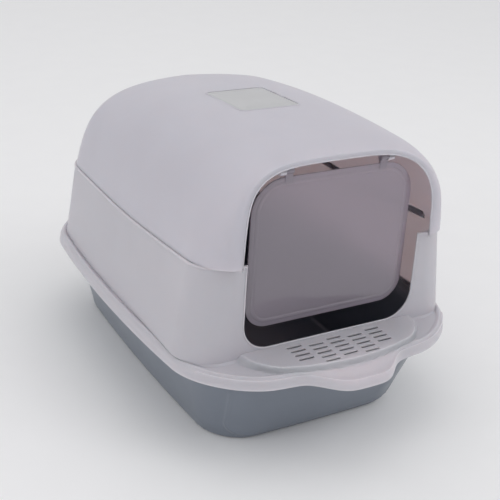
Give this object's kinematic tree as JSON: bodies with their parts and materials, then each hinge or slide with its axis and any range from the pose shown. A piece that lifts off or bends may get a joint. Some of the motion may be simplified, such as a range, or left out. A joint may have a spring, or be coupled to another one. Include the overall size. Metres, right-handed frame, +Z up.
{
  "type": "hooded cat litter box",
  "caption": "Deep litter tray with a removable hood, a flip-top cover, a free-swinging see-through entry flap, a slotted step and a roof filter.",
  "frame": {"origin": "on the floor under the middle of the whole box", "axes": "-Y is the front with the doorway and step, +Z up, +X to the right seen from the front; the object is mirror-symmetric about X = 0"},
  "size_m": [0.4, 0.593, 0.37],
  "materials": {
    "tray_plastic": "satin slate-grey polypropylene",
    "hood_plastic": "satin white polypropylene",
    "cover_plastic": "satin white polypropylene",
    "flap_plastic": "glossy smoke-tinted clear plastic",
    "lid_plastic": "frosted grey-green plastic",
    "filter_foam": "matt black carbon foam",
    "pin_plastic": "satin white polypropylene"
  },
  "bodies": {
    "tray": {"litter_tray": "tray_plastic"},
    "hood": {"hood_base": "hood_plastic", "hinge_pin_left": "pin_plastic", "hinge_pin_right": "pin_plastic"},
    "cover": {"top_cover": "cover_plastic"},
    "flap": {"flap_door": "flap_plastic"},
    "filter": {"filter_lid": "lid_plastic", "filter_pad": "filter_foam"}
  },
  "joints": [
    {"name": "hood_lift", "type": "slide", "parent": "tray", "child": "hood", "axis": [0, 0, 1], "range_m": [0, 0.15]},
    {"name": "cover_hinge", "type": "hinge", "parent": "hood", "child": "cover", "pos_m": [0, 0.25916, 0.234], "axis": [-1, 0, 0], "range_deg": [0, 90]},
    {"name": "flap_swing", "type": "hinge", "parent": "cover", "child": "flap", "pos_m": [0, -0.1895, 0.349], "axis": [1, 0, 0], "range_deg": [-75, 75]},
    {"name": "filter_lift", "type": "slide", "parent": "cover", "child": "filter", "axis": [0, 0.0546, 0.9985], "range_m": [0, 0.04]}
  ]
}
